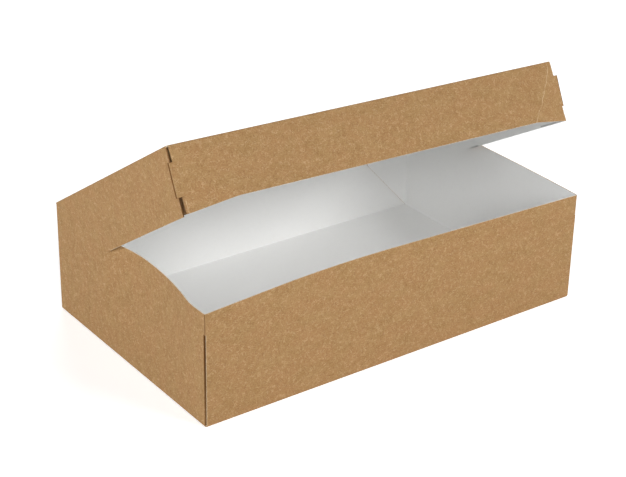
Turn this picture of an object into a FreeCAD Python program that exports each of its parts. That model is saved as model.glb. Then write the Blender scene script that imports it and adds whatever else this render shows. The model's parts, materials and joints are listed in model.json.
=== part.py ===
import FreeCAD, Part
import math
import os

import Sketcher

# A folding-board dessert box standing open. It is one folded sheet, so it has two sub-parts,
# split at the lid's crease: the tray (floor, four walls and their glue flaps) and the lid
# (panel, front flap, two side flanges and their tabs). Origin: centre of the tray's underside.
# +X along the crease, -Y towards the opening, +Z up. Millimetres and degrees.

DIMENSIONS = [
    ("board", 0.5, "thickness of the board"),
    ("box_length", 230.0, "tray, outside, along the crease"),
    ("box_depth", 140.0, "tray, outside, front to rear"),
    ("wall_height", 60.0, "tray, outside, to the rim"),
    ("fold_radius", 0.45, "outside radius of a fold"),
    ("front_apex", 5.4, "front rim: how far in its two straight runs would meet"),
    ("front_apex_at", 84.0, "front rim: that point, from the left end"),
    ("front_curve", 44.0, "front rim: half length of the curve between the runs"),
    ("left_apex", 6.4, "left rim: how far in its two straight runs would meet"),
    ("left_apex_at", 64.0, "left rim: that point, from the front end"),
    ("left_curve", 18.0, "left rim: half length of the curve between the runs"),
    ("left_rim_start", 18.0, "left rim: the length that stays in line at the front"),
    ("right_bow", 1.6, "right rim: how far its middle stands out"),
    ("rear_glue_flap", 29.5, "flaps glued inside the rear wall, width"),
    ("rear_glue_slope", 32.0, "flaps glued inside the rear wall, height of the 45 degree edge"),
    ("front_glue_flap", 22.0, "flaps glued inside the front wall, width"),
    ("glue_flap_drop", 1.2, "the glue flaps end this far under the rim"),
    ("corner_slit", 49.0, "open seam at each front corner, height"),
    ("slit_width", 0.8, "open seam at each front corner, width"),
    ("open_angle", 31.3, "between the lid's panel and level"),
    ("crease_gap", 0.3, "between the rear wall and the lid, on the crease"),
    ("lid_depth", 131.5, "lid panel, crease to front fold"),
    ("flange_height", 31.8, "lid flanges, and the ends of the front flap"),
    ("flap_height", 29.4, "front flap between its ends"),
    ("flap_end", 28.0, "each deeper end of the front flap, length"),
    ("left_slope", 41.0, "left flange, length of the taper to the crease"),
    ("right_slope", 36.0, "right flange, length of the taper to the crease"),
    ("left_setback", 4.6, "left flange, how far its front edge leans back"),
    ("crease_clearance", 2.0, "the flanges start this far in front of the crease"),
    ("side_gap", 0.3, "between the tray's walls and what slides along them"),
    ("ear_top", 6.6, "ears of the front flap, from the fold to where they start"),
    ("ear_foot", 25.0, "ears of the front flap, from the fold to where they end"),
    ("left_ear", 0.8, "left ear, how far it stands out"),
    ("right_ear", 1.5, "right ear, how far it stands out"),
    ("left_tab", 7.0, "tab folded back from the flap's left end, width"),
    ("right_tab", 20.0, "tab folded back from the flap's right end, width"),
    ("tab_taper", 3.0, "both tabs are this much lower at their free edge, above and below"),
]

doc = FreeCAD.newDocument("dessert_box")
sheet = doc.addObject("Spreadsheet::Sheet", "sizes")
for row, (alias, value, note) in enumerate(DIMENSIONS, start=1):
    sheet.set(f"A{row}", note)
    sheet.set(f"B{row}", str(value))
    sheet.setAlias(f"B{row}", alias)
doc.recompute()

# Places that more than one feature uses, as expressions in the sheet's names.
LEFT = "-sizes.box_length / 2"
RIGHT = "sizes.box_length / 2"
FRONT = "-sizes.box_depth / 2"
REAR = "sizes.box_depth / 2"
LID_TOP = "sizes.board / 2"
LID_FRONT = "-sizes.lid_depth"
FLANGE_FOOT = "(sizes.board / 2 - sizes.flange_height)"
LEFT_FLANGE = "(-sizes.box_length / 2 - sizes.side_gap - sizes.board)"
LEFT_EAR_TIP = "(-sizes.box_length / 2 + sizes.board + sizes.side_gap)"
LEFT_FOLD = "(-sizes.box_length / 2 + sizes.board + sizes.side_gap + sizes.left_ear)"
RIGHT_EAR_TIP = "(sizes.box_length / 2 - sizes.board - sizes.side_gap)"
RIGHT_FOLD = "(sizes.box_length / 2 - sizes.board - sizes.side_gap - sizes.right_ear)"
TINY = 1e-6


def valueOf(expression):
    return float(sheet.evalExpression(expression))


def pointAt(place):
    return FreeCAD.Vector(valueOf(place[0]), valueOf(place[1]), 0)


def newBody(label):
    body = doc.addObject("PartDesign::Body", label)
    body.Label = label
    return body


def newSketch(body, name, plane, offset):
    """A sketch on one of the body's own planes, moved along the plane's normal."""
    sketch = body.newObject("Sketcher::SketchObject", name)
    origin = next(item for item in body.Origin.OriginFeatures if item.Role == plane)
    sketch.AttachmentSupport = [(origin, "")]
    sketch.MapMode = "FlatFace"
    sketch.setExpression("AttachmentOffset.Base.z", offset)
    return sketch


def bind(sketch, kind, geometry, point, expression):
    """Fixes one coordinate of a point, or a radius, to an expression."""
    target = (geometry,) if point is None else (geometry, point)
    index = sketch.addConstraint(Sketcher.Constraint(kind, *target, valueOf(expression)))
    sketch.setExpression(f"Constraints[{index}]", expression)


def bindPoint(sketch, geometry, point, place):
    bind(sketch, "DistanceX", geometry, point, place[0])
    bind(sketch, "DistanceY", geometry, point, place[1])


def polygonSketch(body, name, plane, offset, corners):
    sketch = newSketch(body, name, plane, offset)
    points = [pointAt(place) for place in corners]
    count = len(points)
    for i in range(count):
        sketch.addGeometry(Part.LineSegment(points[i], points[(i + 1) % count]))
    for i in range(count):
        sketch.addConstraint(Sketcher.Constraint("Coincident", i, 2, (i + 1) % count, 1))
        bindPoint(sketch, i, 1, corners[i])
    return sketch


def pad(body, name, sketch, length):
    feature = body.newObject("PartDesign::Pad", name)
    feature.Profile = sketch
    feature.setExpression("Length", length)
    return feature


def loft(body, kind, name, lower, upper):
    feature = body.newObject(f"PartDesign::{kind}", name)
    feature.Profile = lower
    feature.Sections = [upper]
    feature.Ruled = True
    return feature


def filletEdges(body, name, base, radius, wanted):
    doc.recompute()
    feature = body.newObject("PartDesign::Fillet", name)
    names = [f"Edge{i}" for i, edge in enumerate(base.Shape.Edges, start=1) if wanted(edge)]
    feature.Base = (base, names)
    feature.setExpression("Radius", radius)
    return feature


# ---------------------------------------------------------------- tray


def bentRun(sketch, before, apex, after, radius, first):
    """Two straight runs from before and after towards apex, with a tangent arc between them.
    They are the sketch's next three edges, and the first of them is number first."""
    start, corner, end = (pointAt(place) for place in (before, apex, after))
    toStart = (start - corner).normalize()
    toEnd = (end - corner).normalize()
    halfAngle = toStart.getAngle(toEnd) / 2
    rounding = valueOf(radius)
    reach = rounding / math.tan(halfAngle)
    centre = corner + (toStart + toEnd).normalize() * (rounding / math.sin(halfAngle))
    meetings = [corner + toStart * reach, corner + toEnd * reach]
    angles = [math.atan2(place.y - centre.y, place.x - centre.x) for place in meetings]
    circle = Part.Circle(centre, FreeCAD.Vector(0, 0, 1), rounding)
    sketch.addGeometry(Part.LineSegment(start, meetings[0]))
    sketch.addGeometry(Part.ArcOfCircle(circle, angles[1], angles[0]))
    sketch.addGeometry(Part.LineSegment(meetings[1], end))
    sketch.addConstraint(Sketcher.Constraint("Tangent", first, 2, first + 1, 2))
    sketch.addConstraint(Sketcher.Constraint("Tangent", first + 2, 1, first + 1, 1))
    bind(sketch, "Radius", first + 1, None, radius)
    mark = sketch.addGeometry(Part.Point(corner), True)
    bindPoint(sketch, mark, 1, apex)
    sketch.addConstraint(Sketcher.Constraint("PointOnObject", mark, 1, first))
    sketch.addConstraint(Sketcher.Constraint("PointOnObject", mark, 1, first + 2))


def curveRadius(apex, run, otherRun, curve):
    """Radius of the arc that starts curve before the apex and ends curve after it."""
    return f"{curve} / tan((atan({apex} / {run}) + atan({apex} / {otherRun})) / 2)"


def inset(place, amount):
    """A corner place moved towards the middle of the box by an amount, both ways."""
    side = "+" if place[0] == LEFT else "-"
    end = "+" if place[1] == FRONT else "-"
    return (f"{place[0]} {side} {amount}", f"{place[1]} {end} {amount}")


def baseSketch(name, height, amount):
    """The tray's straight outline, in as many edges as its rim has."""
    left = f"{LEFT} + {amount}"
    front = f"{FRONT} + {amount}"
    corners = [
        inset((LEFT, FRONT), amount),
        (f"{LEFT} + sizes.front_apex_at - sizes.front_curve", front),
        (f"{LEFT} + sizes.front_apex_at + sizes.front_curve", front),
        inset((RIGHT, FRONT), amount),
        inset((RIGHT, REAR), amount),
        inset((LEFT, REAR), amount),
        (left, f"{FRONT} + sizes.left_apex_at + sizes.left_curve"),
        (left, f"{FRONT} + sizes.left_apex_at - sizes.left_curve"),
        (left, f"{FRONT} + sizes.left_rim_start"),
    ]
    return polygonSketch(tray, name, "XY_Plane", height, corners)


def rimSketch(name, height, amount):
    """The rim's outline: front and left are pushed in, the right stands out a little."""
    frontLeft = inset((LEFT, FRONT), amount)
    frontRight = inset((RIGHT, FRONT), amount)
    rearRight = inset((RIGHT, REAR), amount)
    rearLeft = inset((LEFT, REAR), amount)
    knee = (frontLeft[0], f"{FRONT} + sizes.left_rim_start")
    frontApex = (f"{LEFT} + sizes.front_apex_at", f"{frontLeft[1]} + sizes.front_apex")
    leftApex = (f"{frontLeft[0]} + sizes.left_apex", f"{FRONT} + sizes.left_apex_at")
    frontRadius = curveRadius(
        "sizes.front_apex",
        "sizes.front_apex_at",
        "(sizes.box_length - sizes.front_apex_at)",
        "sizes.front_curve",
    )
    leftRadius = curveRadius(
        "sizes.left_apex",
        "(sizes.left_apex_at - sizes.left_rim_start)",
        "(sizes.box_depth - sizes.left_apex_at)",
        "sizes.left_curve",
    )
    rightRadius = "(sizes.box_depth^2 / 4 + sizes.right_bow^2) / (2 * sizes.right_bow)"

    sketch = newSketch(tray, name, "XY_Plane", height)
    bentRun(sketch, frontLeft, frontApex, frontRight, f"{frontRadius} + {amount}", 0)
    rightRun = outwardArc(sketch, frontRight, rearRight, f"{rightRadius} - {amount}")
    rearRun = sketch.addGeometry(Part.LineSegment(pointAt(rearRight), pointAt(rearLeft)))
    leftRun = rearRun + 1
    bentRun(sketch, rearLeft, leftApex, knee, f"{leftRadius} + {amount}", leftRun)
    lastRun = sketch.addGeometry(Part.LineSegment(pointAt(knee), pointAt(frontLeft)))
    joins = [(2, rightRun), (rightRun, rearRun), (rearRun, leftRun), (leftRun + 2, lastRun), (lastRun, 0)]
    for one, following in joins:
        sketch.addConstraint(Sketcher.Constraint("Coincident", one, 2, following, 1))
    bindPoint(sketch, 0, 1, frontLeft)
    bindPoint(sketch, 2, 2, frontRight)
    bindPoint(sketch, rearRun, 1, rearRight)
    bindPoint(sketch, rearRun, 2, rearLeft)
    bindPoint(sketch, lastRun, 1, knee)
    return sketch


def outwardArc(sketch, before, after, radius):
    """An arc from before to after, bulging to +X."""
    start = pointAt(before)
    end = pointAt(after)
    bend = valueOf(radius)
    half = (end - start).Length / 2
    centre = (start + end) * 0.5 - FreeCAD.Vector(math.sqrt(bend**2 - half**2), 0, 0)
    spread = math.asin(half / bend)
    circle = Part.Circle(centre, FreeCAD.Vector(0, 0, 1), bend)
    arc = sketch.addGeometry(Part.ArcOfCircle(circle, -spread, spread))
    bind(sketch, "Radius", arc, None, radius)
    return arc


def frontGlueFlap(name, side, slope):
    """A flap inside the front wall. It follows the wall, which slopes in towards the rim."""
    corner = f"{side} * (sizes.box_length / 2 - sizes.board)"
    free = f"{side} * (sizes.box_length / 2 - sizes.board - sizes.front_glue_flap)"
    outer = f"{FRONT} + sizes.board / 2"
    inner = f"{FRONT} + 2 * sizes.board"
    lean = f"{slope} * sizes.front_glue_flap"
    lower = polygonSketch(
        tray,
        f"{name}_foot",
        "XY_Plane",
        "sizes.board / 2",
        [(corner, outer), (free, outer), (free, inner), (corner, inner)],
    )
    upper = polygonSketch(
        tray,
        f"{name}_top",
        "XY_Plane",
        "sizes.wall_height - sizes.glue_flap_drop",
        [
            (corner, outer),
            (free, f"{outer} + {lean}"),
            (free, f"{inner} + {lean}"),
            (corner, inner),
        ],
    )
    return loft(tray, "AdditiveLoft", name, lower, upper)


tray = newBody("tray")
outerFoot = baseSketch("outer_foot", "0", "0")
outerRim = rimSketch("outer_rim", "sizes.wall_height", "0")
loft(tray, "AdditiveLoft", "walls", outerFoot, outerRim)
innerFoot = baseSketch("inner_foot", "sizes.board", "sizes.board")
innerRim = rimSketch("inner_rim", "sizes.wall_height", "sizes.board")
inside = loft(tray, "SubtractiveLoft", "inside", innerFoot, innerRim)


def isTrayFold(edge):
    """The edges round the foot, and the four upright ones, which are those furthest from the middle."""
    low, high = sorted(edge.Vertexes, key=lambda vertex: vertex.Z)
    foot = high.Z < valueOf("sizes.board / 2")
    tall = high.Z - low.Z > valueOf("sizes.wall_height - 2 * sizes.board")
    outside = valueOf(f"({RIGHT})^2 + ({REAR})^2") - valueOf("sizes.board")
    return foot or (tall and low.X**2 + low.Y**2 > outside)


filletEdges(tray, "tray_folds", inside, "sizes.fold_radius", isTrayFold)

freeEdge = "(sizes.box_length / 2 - sizes.board - sizes.rear_glue_flap)"
glueFlapTop = "sizes.wall_height - sizes.glue_flap_drop"
for side, name in ((-1, "rear_glue_flap_left"), (1, "rear_glue_flap_right")):
    corner = f"{side} * (sizes.box_length / 2 - sizes.board / 2)"
    outline = polygonSketch(
        tray,
        f"{name}_outline",
        "XZ_Plane",
        f"sizes.board - {REAR}",
        [
            (corner, "sizes.board / 2"),
            (f"{side} * {freeEdge}", "sizes.rear_glue_slope"),
            (f"{side} * {freeEdge}", glueFlapTop),
            (corner, glueFlapTop),
        ],
    )
    pad(tray, name, outline, "sizes.board")

frontGlueFlap("front_glue_flap_left", -1, "sizes.front_apex / sizes.front_apex_at")
frontGlueFlap("front_glue_flap_right", 1, "sizes.front_apex / (sizes.box_length - sizes.front_apex_at)")

# The front wall stops short of both corners, up to where the corner's fold is whole.
for side, name in ((-1, "corner_slit_left"), (1, "corner_slit_right")):
    near = f"{side} * (sizes.box_length / 2 - sizes.slit_width)"
    far = f"{side} * (sizes.box_length / 2 + sizes.slit_width)"
    outline = polygonSketch(
        tray,
        f"{name}_outline",
        "XZ_Plane",
        f"-({FRONT}) - sizes.board",
        [
            (near, "-sizes.board"),
            (far, "-sizes.board"),
            (far, "sizes.corner_slit"),
            (near, "sizes.corner_slit"),
        ],
    )
    slit = tray.newObject("PartDesign::Pocket", name)
    slit.Profile = outline
    slit.setExpression("Length", "2 * sizes.board")
    slit.Reversed = True

# ---------------------------------------------------------------- lid
# Drawn closed, with the crease on its own X axis, then turned open about it.


def flange(name, offset, slope, frontEdge):
    """A side flange: it starts at the crease and tapers to its full height along slope."""
    outline = polygonSketch(
        lid,
        f"{name}_outline",
        "YZ_Plane",
        offset,
        [
            ("-sizes.crease_clearance", LID_TOP),
            (f"-{slope}", FLANGE_FOOT),
            (frontEdge, FLANGE_FOOT),
            (LID_FRONT, LID_TOP),
        ],
    )
    return pad(lid, name, outline, "sizes.board")


def foldedTab(name, offset, width):
    """A tab folded back from an end of the front flap, a little lower at its free edge."""
    freeEdge = f"{LID_FRONT} + {width}"
    outline = polygonSketch(
        lid,
        f"{name}_outline",
        "YZ_Plane",
        offset,
        [
            (LID_FRONT, f"-{LID_TOP}"),
            (LID_FRONT, FLANGE_FOOT),
            (freeEdge, f"{FLANGE_FOOT} + sizes.tab_taper"),
            (freeEdge, f"-{LID_TOP} - sizes.tab_taper"),
        ],
    )
    return pad(lid, name, outline, "sizes.board")


lid = newBody("lid")
panelOutline = polygonSketch(
    lid,
    "panel_outline",
    "XY_Plane",
    f"-{LID_TOP}",
    [(LEFT_FLANGE, LID_FRONT), (RIGHT_FOLD, LID_FRONT), (RIGHT_FOLD, "0"), (LEFT_FLANGE, "0")],
)
pad(lid, "panel", panelOutline, "sizes.board")

flapOutline = polygonSketch(
    lid,
    "front_flap_outline",
    "XZ_Plane",
    "sizes.lid_depth - sizes.board",
    [
        (LEFT_FOLD, LID_TOP),
        (LEFT_FOLD, "-sizes.ear_top"),
        (LEFT_EAR_TIP, "-sizes.ear_top"),
        (LEFT_EAR_TIP, "-sizes.ear_foot"),
        (LEFT_FOLD, "-sizes.ear_foot"),
        (LEFT_FOLD, FLANGE_FOOT),
        (f"{LEFT_FOLD} + sizes.flap_end", f"{LID_TOP} - sizes.flap_height"),
        (f"{RIGHT_FOLD} - sizes.flap_end", f"{LID_TOP} - sizes.flap_height"),
        (RIGHT_FOLD, FLANGE_FOOT),
        (RIGHT_FOLD, "-sizes.ear_foot"),
        (RIGHT_EAR_TIP, "-sizes.ear_foot"),
        (RIGHT_EAR_TIP, "-sizes.ear_top"),
        (RIGHT_FOLD, "-sizes.ear_top"),
        (RIGHT_FOLD, LID_TOP),
    ],
)
pad(lid, "front_flap", flapOutline, "sizes.board")

flange("left_flange", LEFT_FLANGE, "sizes.left_slope", f"{LID_FRONT} + sizes.left_setback")
flange("right_flange", f"{RIGHT_FOLD} - sizes.board", "sizes.right_slope", LID_FRONT)
foldedTab("left_tab", LEFT_FOLD, "sizes.left_tab")
lastTab = foldedTab("right_tab", f"{RIGHT_FOLD} - 2 * sizes.board", "sizes.right_tab")


def isLidFold(edge):
    """The lid's three long folds, on the outside."""
    onTop = all(abs(vertex.Z - valueOf(LID_TOP)) < TINY for vertex in edge.Vertexes)
    return onTop and edge.Length > valueOf("sizes.lid_depth / 2") and not isCrease(edge)


def isCrease(edge):
    return all(abs(vertex.Y) < TINY for vertex in edge.Vertexes) and edge.Length > valueOf("sizes.lid_depth")


lidFolds = filletEdges(lid, "lid_folds", lastTab, "sizes.fold_radius", isLidFold)
filletEdges(lid, "hinge_edge", lidFolds, "sizes.board * 0.499", isCrease)

lid.Placement = FreeCAD.Placement(FreeCAD.Vector(0, 0, 0), FreeCAD.Rotation(FreeCAD.Vector(-1, 0, 0), 1))
lid.setExpression("Placement.Base.y", f"{REAR} - sizes.board / 2")
lid.setExpression("Placement.Base.z", "sizes.wall_height + sizes.crease_gap + sizes.board / 2")
lid.setExpression("Placement.Rotation.Angle", "sizes.open_angle")

# ---------------------------------------------------------------- check and write
doc.recompute()
for item in doc.Objects:
    if "Invalid" in item.State or "Error" in item.State:
        raise RuntimeError(f"{item.Name} failed: {item.State}")

os.makedirs("parts", exist_ok=True)
for body in (tray, lid):
    shape = body.Shape
    if shape.isNull() or not shape.isValid() or len(shape.Solids) != 1:
        raise RuntimeError(f"{body.Label} isn't one valid solid")
    shape.exportStep(f"parts/{body.Label}.step")
    print(f"{body.Label}: {shape.Volume:.0f} mm3")
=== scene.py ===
import json
import math

import bmesh
import bpy
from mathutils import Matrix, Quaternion, Vector


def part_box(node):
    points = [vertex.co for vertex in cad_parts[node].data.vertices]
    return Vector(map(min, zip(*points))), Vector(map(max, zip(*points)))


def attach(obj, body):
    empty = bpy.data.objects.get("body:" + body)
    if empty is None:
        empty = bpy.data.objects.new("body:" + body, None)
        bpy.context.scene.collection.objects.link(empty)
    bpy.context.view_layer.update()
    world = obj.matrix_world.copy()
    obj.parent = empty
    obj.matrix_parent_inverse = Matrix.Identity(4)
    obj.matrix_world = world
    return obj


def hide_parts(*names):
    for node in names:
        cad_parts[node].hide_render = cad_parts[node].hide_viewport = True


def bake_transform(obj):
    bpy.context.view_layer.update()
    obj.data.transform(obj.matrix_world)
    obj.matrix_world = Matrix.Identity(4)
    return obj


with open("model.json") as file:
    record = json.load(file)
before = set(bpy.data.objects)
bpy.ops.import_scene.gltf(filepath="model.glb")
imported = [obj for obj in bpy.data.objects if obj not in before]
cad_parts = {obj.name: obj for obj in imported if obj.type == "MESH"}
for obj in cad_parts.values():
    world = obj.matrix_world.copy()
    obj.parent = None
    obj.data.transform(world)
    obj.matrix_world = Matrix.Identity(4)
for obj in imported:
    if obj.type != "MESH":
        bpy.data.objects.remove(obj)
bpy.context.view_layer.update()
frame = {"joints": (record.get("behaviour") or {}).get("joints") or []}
trayLow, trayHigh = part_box("tray")
hinge = Vector(frame["joints"][0]["pos_m"])

mm = 0.001
sheet = {
    "board": 0.5 * mm,
    "foldRadius": 0.62 * mm,
    "blankSpan": 0.5,  # the blank's UV map covers a square of this side
    "blankMiddle": 0.082,  # front to back place of that square's middle
    "columnStep": 4.0 * mm,
    "rowStep": 4.0 * mm,
    "arcSteps": 4,
    "foldWear": 0.3,
    "foldShade": 0.62,
    "lidColumns": 50,
    "edgeRow": 0.4 * mm,  # a narrow row beside each fold keeps its bend crisp
    "lastRow": 1 * mm,  # no other row is nearer a rim than this
    "rimWearAndShade": 0.9,
    "endWear": 0.5,
    "sharpAngle": math.radians(50),
    "weld": 0.02 * mm,
    "cornerPattern": 0.5,  # how much of its height the pattern spreads by round an upright corner
    "roughSpread": 0.05,  # how far the grain moves the roughness each way
}
blankShift = (0.5, 0.5 - sheet["blankMiddle"] / sheet["blankSpan"], 0.0)


def smooth(x):
    x = min(max(x, 0.0), 1.0)
    return x * x * (3 - 2 * x)


def softMin(a, b, width):  # the lower of two values, rounded where they cross
    h = min(max(0.5 + 0.5 * (b - a) / width, 0.0), 1.0)
    return b + (a - b) * h - width * h * (1 - h)


def stops(start, end, step):
    count = max(1, round(abs(end - start) / step))
    return [start + (end - start) * i / count for i in range(count + 1)]


def quarterTurn():
    return [math.pi / 2 * i / sheet["arcSteps"] for i in range(sheet["arcSteps"] + 1)]


def foldWear(a):  # how worn a fold is, from one flat side of its bend to the other
    return sheet["foldWear"] * math.sin(2 * a)


def foldShade(a):  # painted shade: a thin dark line along the middle of the bend
    return -sheet["foldShade"] * math.sin(2 * a) ** 4


def newObject(name, data):
    made = bpy.data.objects.new(name, data)
    bpy.context.scene.collection.objects.link(made)
    return made


# Collects folded panels in one mesh. A node of a panel is its point in space, its place on the flat blank,
# its wear (above nought) or painted shade (below nought) there, and its share of the full thickness.
class Board:
    def __init__(self):
        self.bm = bmesh.new()
        self.uv = self.bm.loops.layers.uv.new("blank")
        self.wearAndShade = self.bm.verts.layers.float.new("wearAndShade")
        self.weights = self.bm.verts.layers.deform.verify()

    def vertex(self, node):
        made = self.bm.verts.new(node[0])
        made[self.wearAndShade] = node[2] if len(node) > 2 else 0.0
        made[self.weights][0] = node[3] if len(node) > 3 else 1.0
        return made

    # keep(row, column) says which quads there are
    def panel(self, rows, keep=None):
        made = [[self.vertex(node) for node in row] for row in rows]
        for r in range(len(rows) - 1):
            for c in range(len(rows[r]) - 1):
                if keep and not keep(r, c):
                    continue
                ring = [(r, c), (r, c + 1), (r + 1, c + 1), (r + 1, c)]
                face = self.bm.faces.new([made[i][k] for i, k in ring])
                face.smooth = True
                for loop, (i, k) in zip(face.loops, ring):
                    x, y = rows[i][k][1]
                    loop[self.uv].uv = (
                        x / sheet["blankSpan"] + 0.5,
                        (y - sheet["blankMiddle"]) / sheet["blankSpan"] + 0.5,
                    )

    # welds the panels and makes one object of them
    def finish(self, name):
        bmesh.ops.remove_doubles(self.bm, verts=self.bm.verts, dist=sheet["weld"])
        loose = [v for v in self.bm.verts if not v.link_faces]
        bmesh.ops.delete(self.bm, geom=loose, context="VERTS")
        mesh = bpy.data.meshes.new(name)
        self.bm.to_mesh(mesh)
        self.bm.free()
        piece = newObject(name, mesh)
        piece.vertex_groups.new(name="thickness")
        return thicken(piece)


# gives a sheet its thickness, on the white side
def thicken(piece):
    mesh = piece.data
    mesh.materials.clear()
    for material in (kraft, whiteLiner, cutEdge):
        mesh.materials.append(material)
    wall = piece.modifiers.new("board", "SOLIDIFY")
    wall.thickness = sheet["board"]
    wall.offset = -1
    wall.use_even_offset = True
    wall.use_quality_normals = True
    wall.material_offset = 1
    wall.material_offset_rim = 2
    if "thickness" in piece.vertex_groups:
        wall.vertex_group = "thickness"
    mesh.polygons.foreach_set("use_smooth", [True] * len(mesh.polygons))
    return crispRims(plainMesh(piece))


# the object with its modifiers worked in, as a plain mesh
def plainMesh(piece):
    graph = bpy.context.evaluated_depsgraph_get()
    mesh = bpy.data.meshes.new_from_object(piece.evaluated_get(graph))
    piece.modifiers.clear()
    piece.data = mesh
    return piece


# works a geometry tree into the object; the values go by the sockets' names
def workIn(piece, tree, values):
    modifier = piece.modifiers.new(tree.name, "NODES")
    modifier.node_group = tree
    for item in tree.interface.items_tree:
        if item.in_out == "INPUT" and item.name in values:
            modifier[item.identifier] = values[item.name]
    return plainMesh(piece)


# bends stay smooth, and cut edges are sharp
def crispRims(piece):
    bm = bmesh.new()
    bm.from_mesh(piece.data)
    for edge in bm.edges:
        if len(edge.link_faces) == 2:
            edge.smooth = edge.calc_face_angle(0.0) < sheet["sharpAngle"]
    bm.to_mesh(piece.data)
    bm.free()
    print("made", piece.name, len(piece.data.polygons), "faces")
    return piece


# an input is a label with a number, or with the kind of its socket
def newGroup(name, kind, inputs, outputs):
    group = bpy.data.node_groups.new(name, kind)
    for label, value in inputs:
        socketKind = {int: "Int", float: "Float"}.get(type(value), value)
        socket = group.interface.new_socket(label, in_out="INPUT", socket_type="NodeSocket" + socketKind)
        if socketKind != value:
            socket.default_value = value
    for label, socketKind in outputs:
        group.interface.new_socket(label, in_out="OUTPUT", socket_type="NodeSocket" + socketKind)
    given = group.nodes.new("NodeGroupInput").outputs
    return group, given, group.nodes.new("NodeGroupOutput").inputs


# feeds a socket with a plain value, another socket, or a node, which stands for its first output
def feed(tree, socket, value):
    if hasattr(value, "outputs"):
        value = value.outputs[0]
    if hasattr(value, "links"):
        tree.links.new(value, socket)
    else:
        socket.default_value = value


def newNode(tree, kind, inputs, **settings):
    node = tree.nodes.new(kind)
    for name, value in settings.items():
        setattr(node, name, value)
    for socket, value in inputs.items():
        feed(tree, node.inputs[socket], value)
    return node


def maths(tree, operation, first, second):
    return newNode(tree, "ShaderNodeMath", {0: first, 1: second}, operation=operation)


def scaledVector(tree, vector, factor):
    return newNode(tree, "ShaderNodeVectorMath", {0: vector, "Scale": factor}, operation="SCALE")


def mixColour(tree, factor, first, second):
    return newNode(tree, "ShaderNodeMix", {0: factor, 6: first, 7: second}, data_type="RGBA").outputs[2]


# Shade is painted shade, laid on seams, slits and gaps
masks = ("Cloud", "Tint", "Grain", "Pale Fibre", "Dark Fibre", "Wear", "Shade")


# mottle, grain, fibres and worn folds of pulp board, and painted shade, as masks that run with the blank
def makeFibreGroup():
    group, given, out = newGroup(
        "pulpFibres",
        "ShaderNodeTree",
        [
            ("Cloud Size", 26.0),
            ("Grain Size", 600.0),
            ("Fibre Size", 240.0),
            ("Fibre Share", 0.6),
        ],
        [(label, "Float") for label in masks],
    )
    blank = newNode(group, "ShaderNodeUVMap", {}, uv_map="blank")

    def noise(scaleName, stretch, detail, turn, shift):
        place = {"Vector": blank, "Scale": stretch, "Rotation": (0, 0, turn), "Location": (shift, shift, 0)}
        mapping = newNode(group, "ShaderNodeMapping", place)
        texture = {"Vector": mapping, "Scale": given[scaleName], "Detail": detail}
        return newNode(group, "ShaderNodeTexNoise", texture)

    def ramp(value, low, high):
        span = {"Value": value, "From Min": low, "From Max": high}
        return newNode(group, "ShaderNodeMapRange", span, interpolation_type="SMOOTHSTEP")

    def put(value, label):
        feed(group, out[label], value)

    # each with its noise's size, stretch, detail, turn and shift, and where the mask starts and is full
    for label, scaleName, stretch, detail, turn, shift, low, high in (
        ("Cloud", "Cloud Size", (1, 1.5, 1), 4, 0.0, 0.0, 0.32, 0.68),
        ("Tint", "Cloud Size", (0.7, 1.1, 1), 3, 0.4, 7.3, 0.35, 0.65),
        ("Grain", "Grain Size", (0.8, 1, 1), 3, 0.0, 1.9, 0.3, 0.7),
    ):
        put(ramp(noise(scaleName, stretch, detail, turn, shift), low, high), label)

    # a fibre follows a level line of one noise, and another noise breaks it up
    for label, turn, shift in (("Pale Fibre", 0.5, 3.1), ("Dark Fibre", -0.4, 5.7)):
        level = maths(group, "SUBTRACT", noise("Fibre Size", (0.9, 1.1, 1), 2, turn, shift), 0.5)
        line = ramp(maths(group, "ABSOLUTE", level, 0.0), 0.055, 0.0)
        broken = noise("Fibre Size", (0.6, 0.6, 1), 2, turn, shift + 4)
        put(maths(group, "MULTIPLY", line, ramp(broken, given["Fibre Share"], 0.6)), label)

    # above nought the board is worn light (on the flap's lower end folds partly a painted highlight), and
    # below nought it gets painted shade, as in a tight seam
    wornAndShaded = newNode(group, "ShaderNodeAttribute", {}, attribute_name="wearAndShade").outputs["Fac"]
    patches = maths(group, "MULTIPLY", noise("Fibre Size", (1.2, 1.2, 1), 3, 0.9, 2.2), 2.0)
    share = maths(group, "MULTIPLY", maths(group, "SUBTRACT", patches, 0.1), wornAndShaded)
    put(ramp(share, 0.25, 0.85), "Wear")
    put(ramp(wornAndShaded, -0.1, -0.9), "Shade")
    return group


def makeBoardMaterial(name, look):
    material = bpy.data.materials.new(name)
    material.use_nodes = True
    tree = material.node_tree
    pulp = newNode(tree, "ShaderNodeGroup", {}, node_tree=fibreGroup)
    for label in ("Cloud Size", "Grain Size", "Fibre Size", "Fibre Share"):
        pulp.inputs[label].default_value = look[label]
    colour = mixColour(tree, pulp.outputs["Cloud"], look["base"], look["cloud"])
    for mask in masks[1:]:
        amount, over = look[mask]
        colour = mixColour(tree, maths(tree, "MULTIPLY", pulp.outputs[mask], amount), colour, over)
    grain = pulp.outputs["Grain"]
    rough = newNode(tree, "ShaderNodeMapRange", {
        "Value": grain,
        "To Min": look["roughness"] - sheet["roughSpread"],
        "To Max": look["roughness"] + sheet["roughSpread"],
    })
    relief = {"Height": grain, "Distance": look["relief"], "Strength": 1.0}
    for socket, value in (
        ("Base Color", colour),
        ("Roughness", rough),
        ("Specular IOR Level", look["specular"]),
        ("Normal", newNode(tree, "ShaderNodeBump", relief)),
    ):
        feed(tree, tree.nodes["Principled BSDF"].inputs[socket], value)
    return material


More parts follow.
